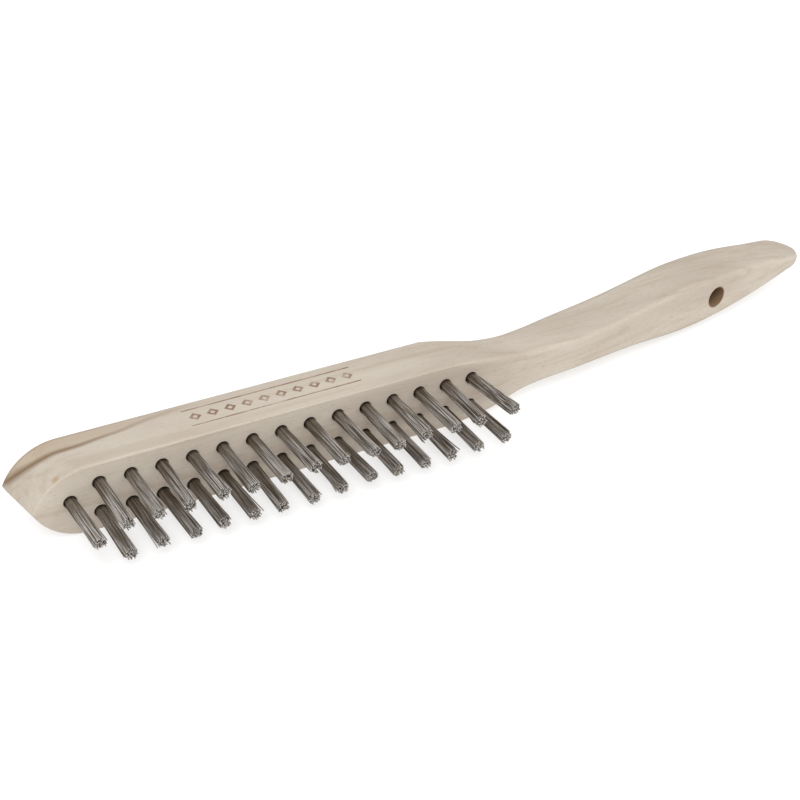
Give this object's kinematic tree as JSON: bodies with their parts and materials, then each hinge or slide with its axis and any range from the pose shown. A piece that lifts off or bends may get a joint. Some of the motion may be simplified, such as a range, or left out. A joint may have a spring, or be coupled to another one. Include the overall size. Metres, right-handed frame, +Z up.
{
  "type": "wire scratch brush",
  "caption": "Hand wire scratch brush with a one-piece wooden block and handle, a pointed nose, rows of stapled steel wire tufts and a hanging hole.",
  "frame": {"origin": "centre of the brush's bounding box, on the surface that its lower flank lies on", "axes": "+X from the pointed nose to the handle end, -Y the way the wire tufts point, +Z up out of the upper flank"},
  "size_m": [0.2898, 0.0564, 0.0214],
  "materials": {
    "beech": "matte",
    "wire": "satin",
    "staple_wire": "satin"
  },
  "bodies": {
    "root": {"wooden_body": "beech", "tuft_nose": "wire", "tuft_upper_01": "wire", "tuft_upper_02": "wire", "tuft_upper_03": "wire", "tuft_upper_04": "wire", "tuft_upper_05": "wire", "tuft_upper_06": "wire", "tuft_upper_07": "wire", "tuft_upper_08": "wire", "tuft_upper_09": "wire", "tuft_upper_10": "wire", "tuft_upper_11": "wire", "tuft_upper_12": "wire", "tuft_upper_13": "wire", "tuft_upper_14": "wire", "tuft_lower_01": "wire", "tuft_lower_02": "wire", "tuft_lower_03": "wire", "tuft_lower_04": "wire", "tuft_lower_05": "wire", "tuft_lower_06": "wire", "tuft_lower_07": "wire", "tuft_lower_08": "wire", "tuft_lower_09": "wire", "tuft_lower_10": "wire", "tuft_lower_11": "wire", "tuft_lower_12": "wire", "tuft_lower_13": "wire", "tuft_lower_14": "wire", "staple_nose": "staple_wire", "staple_upper_01": "staple_wire", "staple_upper_02": "staple_wire", "staple_upper_03": "staple_wire", "staple_upper_04": "staple_wire", "staple_upper_05": "staple_wire", "staple_upper_06": "staple_wire", "staple_upper_07": "staple_wire", "staple_upper_08": "staple_wire", "staple_upper_09": "staple_wire", "staple_upper_10": "staple_wire", "staple_upper_11": "staple_wire", "staple_upper_12": "staple_wire", "staple_upper_13": "staple_wire", "staple_upper_14": "staple_wire", "staple_lower_01": "staple_wire", "staple_lower_02": "staple_wire", "staple_lower_03": "staple_wire", "staple_lower_04": "staple_wire", "staple_lower_05": "staple_wire", "staple_lower_06": "staple_wire", "staple_lower_07": "staple_wire", "staple_lower_08": "staple_wire", "staple_lower_09": "staple_wire", "staple_lower_10": "staple_wire", "staple_lower_11": "staple_wire", "staple_lower_12": "staple_wire", "staple_lower_13": "staple_wire", "staple_lower_14": "staple_wire"}
  },
  "joints": []
}
